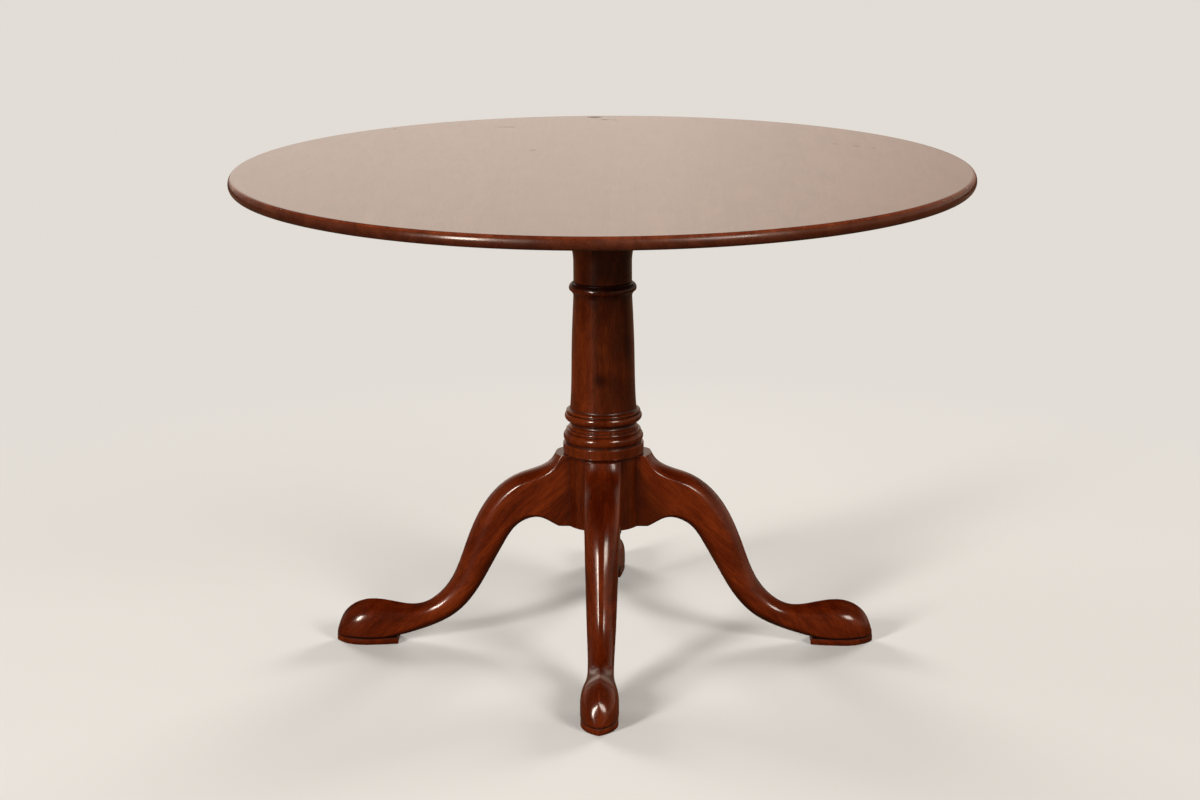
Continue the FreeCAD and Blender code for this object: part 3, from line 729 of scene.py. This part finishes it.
def top_wood():
    """Wood of the top: full polish on the flat, a darker edge dulled by hands with painted shade towards
    its underside, and a few dull marks.
    """
    material, tree, shader, figure, tone = varnished_wood(
        "top_wood_varnished",
        dark=(0.040, 0.0068, 0.0022, 1),
        middle=(0.092, 0.0160, 0.0046, 1),
        light=(0.165, 0.038, 0.0110, 1),
        rough=0.2, contrast=1.9, ripple_depth=0.012)
    place = node(tree, "ShaderNodeTexCoord").outputs["Object"]
    height = node(tree, "ShaderNodeSeparateXYZ", {0: place}).outputs[2]
    flat = over_heights(tree, height, *FLAT_POLISH)
    on_edge = math_node(tree, "SUBTRACT", 1.0, flat)
    shade_over(tree, shader, on_edge, (0.86, 0.84, 0.86, 1))
    # painted shade: the edge darkens towards the underside
    shade_over(tree, shader, over_heights(tree, height, *EDGE_PAINTED_SHADE), (0.62, 0.66, 0.80, 1))
    handled = remap(tree, noise(tree, place, (14.0, 14.0, 14.0), 2.0), 0.35, 0.65)
    dulled(tree, shader, math_node(tree, "MULTIPLY", on_edge, handled), 0.16)
    rim_line = math_node(tree, "MULTIPLY", over_heights(tree, height, *RIM_LINE_LOWER),
                         over_heights(tree, height, *RIM_LINE_UPPER))
    shade_over(tree, shader, rim_line, (1.35, 1.1, 1.0, 1))
    spread = noise(tree, place, (160.0, 160.0, 160.0), 3.0)
    marked = None
    for x, y, across, along, depth in TOP_MARKS:
        scale = (1 / (across * MM), 1 / (along * MM), 60.0)
        reach = distance_from(tree, place, (x, y, TABLE_HEIGHT), scale)
        ragged = math_node(tree, "ADD", reach, math_node(tree, "MULTIPLY", spread, 1.2))
        spot = remap(tree, ragged, 1.7, 1.2, 0.0, depth)
        marked = spot if marked is None else math_node(tree, "MAXIMUM", marked, spot)
    shade_over(tree, shader, marked, (0.5, 0.42, 0.36, 1))
    dulled(tree, shader, marked, 0.5)
    polish = math_node(tree, "MULTIPLY", flat, math_node(tree, "SUBTRACT", 1.0, marked))
    closed_grain = remap(tree, figure.outputs["Figure"], 0.35, 0.65, 0.90, 1.0)
    board_gloss = remap(tree, tone, 0.45, 0.55, 0.985, 1.0)
    polish = math_node(tree, "MULTIPLY", polish, math_node(tree, "MULTIPLY", closed_grain, board_gloss))
    tree.links.new(remap(tree, polish, 0.0, 1.0, 0.04, 1.0), shader.inputs["Coat Weight"])
    return material


def column_wood():
    """Wood of the column: two halves glued side by side, the left one redder and the right one mottled.

    Clouds of darker stain lie over both, painted shade darkens the left side of the hub, and a small knot
    has a dark cloud of its own.
    """
    material, tree, shader, _, _ = varnished_wood(
        "column_wood_varnished",
        dark=(0.028, 0.0029, 0.0005, 1),
        middle=(0.093, 0.0108, 0.0011, 1),
        light=(0.195, 0.032, 0.0048, 1),
        rough=0.17, contrast=1.6, ripple_depth=0.02)
    place = node(tree, "ShaderNodeTexCoord").outputs["Object"]
    across, _, height = node(tree, "ShaderNodeSeparateXYZ", {0: place}).outputs
    right_half = remap(tree, across, (GLUE_LINE - GLUE_LINE_BLUR) * MM, (GLUE_LINE + GLUE_LINE_BLUR) * MM)
    on_shaft = remap(tree, height, SHAFT_TONE[0] * MM, SHAFT_TONE[1] * MM, 0.3, 1.0)
    mottled = remap(tree, noise(tree, place, (38.0, 38.0, 24.0), 2.0), 0.38, 0.62, 0.6, 1.0)
    darker = math_node(tree, "MULTIPLY", math_node(tree, "MULTIPLY", right_half, on_shaft), mottled)
    shade_over(tree, shader, darker, (0.47, 0.52, 0.66, 1))
    # painted shade on the left side of the hub below the plinth
    shaded_left_side = remap(tree, across, HUB_SHADE_MIDDLE_BLUR * MM, -HUB_SHADE_MIDDLE_BLUR * MM)
    hub_painted_shade = math_node(tree, "MULTIPLY", over_heights(tree, height, *HUB_PAINTED_SHADE), shaded_left_side)
    shade_over(tree, shader, hub_painted_shade, (0.76, 0.70, 0.66, 1))
    clouds = noise(tree, place, (30.0, 30.0, 16.0), 2.0)
    shade_over(tree, shader, remap(tree, clouds, 0.50, 0.66), (0.70, 0.62, 0.56, 1))
    reach = distance_from(tree, place, SHAFT_KNOT)
    ragged = math_node(tree, "ADD", reach, math_node(tree, "MULTIPLY", clouds, 0.012))
    shade_over(tree, shader, remap(tree, ragged, 0.022, 0.010), (0.34, 0.28, 0.24, 1))
    return material


def leg_wood():
    """Wood of the legs, with painted shade on the faces that turn down and, a little, on those that turn
    up.
    """
    material, tree, shader, _, _ = varnished_wood(
        "leg_wood_varnished",
        dark=(0.028, 0.0028, 0.0005, 1),
        middle=(0.100, 0.0105, 0.0010, 1),
        light=(0.215, 0.034, 0.0050, 1),
        rough=0.19, contrast=1.75, ripple_depth=0.04)
    normal_for_painted_shade = node(tree, "ShaderNodeNewGeometry").outputs["Normal"]
    upward_for_painted_shade = node(tree, "ShaderNodeSeparateXYZ", {0: normal_for_painted_shade}).outputs[2]
    # painted shade: faces that turn down are darkened, for the shade under the legs
    shade_over(tree, shader, remap(tree, upward_for_painted_shade, -0.05, -0.55), (0.36, 0.30, 0.26, 1))
    # painted shade: faces that turn up are darkened a little, for the shade under the top
    shade_over(tree, shader, remap(tree, upward_for_painted_shade, 0.35, 0.8), (0.72, 0.64, 0.58, 1))
    return material


TOP_WOOD = top_wood()
LEG_WOOD = leg_wood()
COLUMN_WOOD = column_wood()


def plain_wood():
    """Planed, thinly stained wood with its grain along X, for the hidden block, cleats and wedges."""
    material = bpy.data.materials.new("frame_wood_planed")
    material.use_nodes = True
    tree = material.node_tree
    shader = tree.nodes["Principled BSDF"]
    place = node(tree, "ShaderNodeTexCoord").outputs["Object"]
    turned = node(tree, "ShaderNodeMapping", {"Vector": place, "Rotation": (0, math.radians(90), 0)})
    figure = node(tree, "ShaderNodeGroup", node_tree=FIGURE)
    tree.links.new(turned.outputs[0], figure.inputs["Grain"])
    ramp = node(tree, "ShaderNodeValToRGB", {0: figure.outputs["Figure"]})
    ramp.color_ramp.elements[0].position = 0.25
    ramp.color_ramp.elements[0].color = (0.13, 0.055, 0.025, 1)
    ramp.color_ramp.elements[1].position = 0.75
    ramp.color_ramp.elements[1].color = (0.30, 0.15, 0.07, 1)
    pored = mix_colour(tree, math_node(tree, "MULTIPLY", figure.outputs["Pores"], 0.5), ramp.outputs[0],
                       (0.4, 0.33, 0.28, 1.0), "MULTIPLY")
    tree.links.new(pored, shader.inputs["Base Color"])
    streaks = figure.outputs["Streaks"]
    tree.links.new(remap(tree, streaks, 0.3, 0.7, 0.55, 0.7), shader.inputs["Roughness"])
    bump = node(tree, "ShaderNodeBump", {"Height": streaks, "Strength": 0.2, "Distance": 0.0003})
    tree.links.new(bump.outputs["Normal"], shader.inputs["Normal"])
    return material


def dull_steel():
    """Rolled steel with faint clouds of tarnish and fine scratches."""
    material = bpy.data.materials.new("steel_dull")
    material.use_nodes = True
    tree = material.node_tree
    shader = tree.nodes["Principled BSDF"]
    place = node(tree, "ShaderNodeTexCoord").outputs["Object"]
    clouds = noise(tree, place, (90.0, 90.0, 90.0), 4.0)
    scratches = noise(tree, place, (1400.0, 120.0, 900.0), 2.0)
    tarnish = remap(tree, clouds, 0.35, 0.65)
    colour = mix_colour(tree, tarnish, (0.42, 0.41, 0.39, 1), (0.30, 0.27, 0.24, 1))
    tree.links.new(colour, shader.inputs["Base Color"])
    tree.links.new(remap(tree, scratches, 0.3, 0.7, 0.32, 0.5), shader.inputs["Roughness"])
    bump = node(tree, "ShaderNodeBump", {"Height": scratches, "Strength": 0.15, "Distance": 0.0002})
    tree.links.new(bump.outputs["Normal"], shader.inputs["Normal"])
    shader.inputs["Metallic"].default_value = 1.0
    return material


# Pieces

for number, (left, right) in enumerate(zip(SEAM_SHARES[:-1], SEAM_SHARES[1:]), start=1):
    left, right = left * TOP_RADIUS, right * TOP_RADIUS
    name = "top_board_%d" % number
    make_piece("board_%d" % number, [board(left, right)], board_values((left + right) / 2, number),
               BOARD_TONES[number - 1], TOP_WOOD, [name])

make_piece("turned_column", [turned_column()], column_values, 0.5, COLUMN_WOOD, ["column"])

for quarter, (side, tone) in enumerate(zip(("right", "back", "left", "front"), LEG_TONES)):
    angle = quarter * math.pi / 2
    shells = [turned_about_z(rings, angle) for rings in (leg_body(), leg_shoe())]
    make_piece("cabriole_leg_" + side, shells, leg_values(angle, quarter), tone, LEG_WOOD,
               ["leg_" + side])

FRAME_WOOD = plain_wood()
STEEL = dull_steel()
HIDDEN_FINISHES = {
    "cleat_front": FRAME_WOOD, "cleat_back": FRAME_WOOD,
    "top_block": FRAME_WOOD, "tenon_wedges": FRAME_WOOD,
    "cleat_screws": STEEL, "block_screws": STEEL,
    "base_plate": STEEL, "plate_screws": STEEL,
}
for name, material in HIDDEN_FINISHES.items():
    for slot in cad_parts[name].material_slots:
        slot.material = material


# Stage, light and camera


def standing(axes, at):
    """Matrix of an object that stands at a place, with its own three axes as columns."""
    place = np.eye(4)
    place[:3, :3] = axes
    place[:3, 3] = at
    return Matrix(place.tolist())


def pale_floor():
    """A wide round floor, pale to the camera and dark to all other rays.

    Near the table it is lit and takes the shadow. Farther out it passes into the colour of the backdrop.
    """
    angle = np.linspace(0, TURN, 97)[:-1]
    rim = np.stack([np.cos(angle), np.sin(angle), 0 * angle], 1) * FLOOR_RADIUS
    mesh = bpy.data.meshes.new("floor")
    mesh.from_pydata(rim.tolist(), [], [list(range(len(angle)))])
    material = bpy.data.materials.new("floor_pale")
    material.use_nodes = True
    tree = material.node_tree
    shader = tree.nodes["Principled BSDF"]
    seen = node(tree, "ShaderNodeLightPath").outputs["Is Camera Ray"]
    colour = mix_colour(tree, seen, (0.08, 0.05, 0.03, 1), (0.67, 0.64, 0.60, 1))
    tree.links.new(colour, shader.inputs["Base Color"])
    shader.inputs["Roughness"].default_value = 0.8
    shader.inputs["Specular IOR Level"].default_value = 0.1
    place = node(tree, "ShaderNodeTexCoord").outputs["Object"]
    reach = node(tree, "ShaderNodeVectorMath", {0: place}, operation="LENGTH").outputs["Value"]
    far = node(tree, "ShaderNodeMapRange", {0: reach, 1: FLOOR_FADE[0], 2: FLOOR_FADE[1]},
               interpolation_type="SMOOTHSTEP").outputs[0]
    glow = node(tree, "ShaderNodeEmission", {0: BACKDROP, 1: 1.0}).outputs[0]
    mixed = node(tree, "ShaderNodeMixShader", {0: math_node(tree, "MULTIPLY", seen, far),
                                               1: shader.outputs[0], 2: glow})
    tree.links.new(mixed.outputs[0], tree.nodes["Material Output"].inputs["Surface"])
    mesh.materials.append(material)
    floor = bpy.data.objects.new("floor", mesh)
    bpy.context.scene.collection.objects.link(floor)


def soft_light(name, azimuth, elevation, width, height, watts, reflected=True):
    """A softbox that looks at the middle of the table from an azimuth counted from the front.

    A fill light is not reflected: it gives soft light only and leaves no bright spot in the varnish.
    """
    data = bpy.data.lights.new(name, "AREA")
    data.shape = "RECTANGLE"
    data.size = width
    data.size_y = height
    data.energy = watts
    lamp = bpy.data.objects.new(name, data)
    lamp.visible_glossy = reflected
    bpy.context.scene.collection.objects.link(lamp)
    turn, rise = math.radians(azimuth), math.radians(elevation)
    back = np.array([math.cos(rise) * math.sin(turn), -math.cos(rise) * math.cos(turn), math.sin(rise)])
    right = np.array([math.cos(turn), math.sin(turn), 0.0])
    up = np.cross(back, right)
    at = np.array(LAMP_AIM) + LAMP_DISTANCE * back
    lamp.matrix_world = standing(np.stack([right, up, back], 1), at)


def room_light():
    """Dim light from all round, paler near the horizon at the back and to the right.

    The polished top mirrors a bright band straight behind it, which falls off to the right. The camera
    itself sees the plain backdrop.
    """
    world = bpy.data.worlds.new("studio")
    world.use_nodes = True
    tree = world.node_tree
    direction = node(tree, "ShaderNodeTexCoord").outputs["Generated"]
    sideways, backward, height = node(tree, "ShaderNodeSeparateXYZ", {0: direction}).outputs
    low = remap(tree, height, 0.60, 0.25)
    at_back = math_node(tree, "MULTIPLY", low, remap(tree, backward, -0.1, 0.6))
    behind = math_node(tree, "MULTIPLY", low, remap(tree, backward, 0.72, 0.93))
    colour = mix_colour(tree, at_back, (0.085, 0.068, 0.048, 1), (0.26, 0.22, 0.17, 1))
    fall_off = remap(tree, sideways, 0.0, 0.2)
    band = mix_colour(tree, fall_off, (0.86, 0.72, 0.61, 1), (0.44, 0.34, 0.27, 1))
    colour = mix_colour(tree, behind, colour, band)
    at_right = math_node(tree, "MULTIPLY", low, remap(tree, sideways, 0.4, 0.65))
    colour = mix_colour(tree, at_right, colour, (0.50, 0.43, 0.35, 1))
    seen = node(tree, "ShaderNodeLightPath").outputs["Is Camera Ray"]
    colour = mix_colour(tree, seen, colour, BACKDROP)
    tree.links.new(colour, tree.nodes["Background"].inputs["Color"])
    bpy.context.scene.world = world


def front_camera():
    """Camera at the photograph's place: a little above the top, tipped down and slightly rolled."""
    heading = np.array(CAMERA_HEADING)
    forward = heading * math.cos(CAMERA_PITCH) - np.array([0, 0, math.sin(CAMERA_PITCH)])
    right = np.array([heading[1], -heading[0], 0.0])
    up = np.cross(right, forward)
    rolled_right = math.cos(CAMERA_ROLL) * right + math.sin(CAMERA_ROLL) * up
    rolled_up = math.cos(CAMERA_ROLL) * up - math.sin(CAMERA_ROLL) * right
    data = bpy.data.cameras.new("camera")
    data.sensor_width = CAMERA_SENSOR
    data.lens = CAMERA_LENS
    data.clip_end = 200.0
    camera = bpy.data.objects.new("camera", data)
    camera.matrix_world = standing(np.stack([rolled_right, rolled_up, -forward], 1), CAMERA_PLACE)
    bpy.context.scene.collection.objects.link(camera)
    bpy.context.scene.camera = camera


pale_floor()
soft_light("softbox_left", azimuth=-38, elevation=18, width=0.75, height=1.6, watts=225)
soft_light("softbox_right", azimuth=38, elevation=27, width=1.4, height=1.4, watts=130)
soft_light("fill_left", azimuth=-142, elevation=16, width=2.0, height=1.4, watts=190, reflected=False)
soft_light("fill_right", azimuth=142, elevation=16, width=2.0, height=1.4, watts=190, reflected=False)
room_light()
front_camera()
bpy.context.scene.view_settings.view_transform = "Standard"
